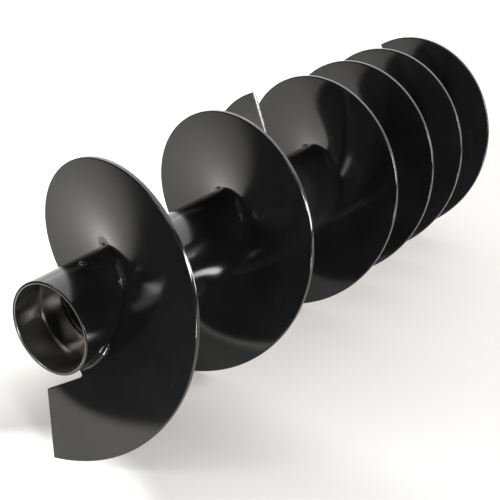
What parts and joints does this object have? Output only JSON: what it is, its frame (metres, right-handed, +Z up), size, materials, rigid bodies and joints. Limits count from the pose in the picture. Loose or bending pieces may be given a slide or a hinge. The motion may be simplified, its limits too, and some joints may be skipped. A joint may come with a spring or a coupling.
{
  "type": "mortar mixing screw",
  "caption": "Left-handed steel screw for mixing and feeding mortar: helical sheet flights welded round a tube, single-flighted at the drive end and double-flighted at the tail.",
  "frame": {"origin": "centre of the tube's open drive-end mouth, in the plane of its rim", "axes": "+Y along the screw's axis towards the tail journal, +X to the right, +Z up; the flight's toe points down (-Z)"},
  "size_m": [0.2032, 0.6568, 0.2032],
  "materials": {
    "black_paint": "gloss black paint, bare and scuffed on the sheet edges",
    "painted_weld": "gloss black paint over rippled weld beads",
    "machined_steel": "bare turned steel, lightly oiled"
  },
  "bodies": {
    "root": {"core_tube": "black_paint", "main_flight_turn_1": "black_paint", "main_flight_turn_2": "black_paint", "main_flight_turn_3": "black_paint", "main_flight_turn_4": "black_paint", "second_flight_turn_1": "black_paint", "second_flight_turn_2": "black_paint", "main_flight_seam_1": "painted_weld", "main_flight_seam_2": "painted_weld", "main_flight_seam_3": "painted_weld", "second_flight_seam": "painted_weld", "main_flight_weld_1": "painted_weld", "main_flight_weld_2": "painted_weld", "main_flight_weld_3": "painted_weld", "main_flight_weld_4": "painted_weld", "second_flight_weld_1": "painted_weld", "second_flight_weld_2": "painted_weld", "socket_sleeve": "machined_steel", "sleeve_plug_welds": "painted_weld", "drive_hub": "machined_steel", "drive_hub_weld": "painted_weld", "tail_hub": "black_paint", "tail_hub_weld": "painted_weld", "tail_journal": "machined_steel", "tail_journal_weld": "painted_weld"}
  },
  "joints": []
}
